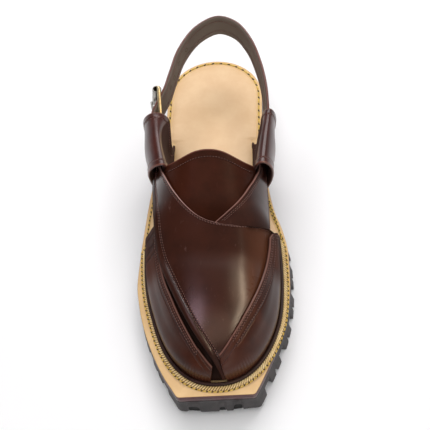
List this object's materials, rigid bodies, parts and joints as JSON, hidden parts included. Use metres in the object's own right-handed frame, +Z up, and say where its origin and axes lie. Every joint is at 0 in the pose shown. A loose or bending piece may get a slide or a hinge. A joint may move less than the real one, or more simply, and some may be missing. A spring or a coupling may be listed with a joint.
{
  "type": "norozi chappal",
  "caption": "Right-foot leather sandal with crossed upper straps, folded side loops, a buckled heel strap and a square-toed, lugged, welted sole.",
  "frame": {"origin": "middle of the shoe's box in plan, on the ground", "axes": "+X towards the medial side, +Y towards the heel, +Z up"},
  "size_m": [0.1177, 0.3079, 0.0958],
  "materials": {
    "upper": "polished dark brown",
    "loops": "polished red brown",
    "strap": "polished dark brown",
    "rand": "polished, dark",
    "welt": "natural tan",
    "insole": "natural tan, smooth",
    "midsole": "stained wine red edge",
    "rubber": "matte charcoal",
    "brass": "polished",
    "steel": "dull"
  },
  "bodies": {
    "root": {"outsole": "rubber", "midsole": "midsole", "welt": "welt", "insole": "insole", "rand": "rand", "upper": "upper", "ear_lateral": "loops", "ear_medial": "loops", "heel_strap": "strap", "buckle_frame": "brass", "buckle_roller": "steel", "buckle_prong": "brass"}
  },
  "joints": []
}
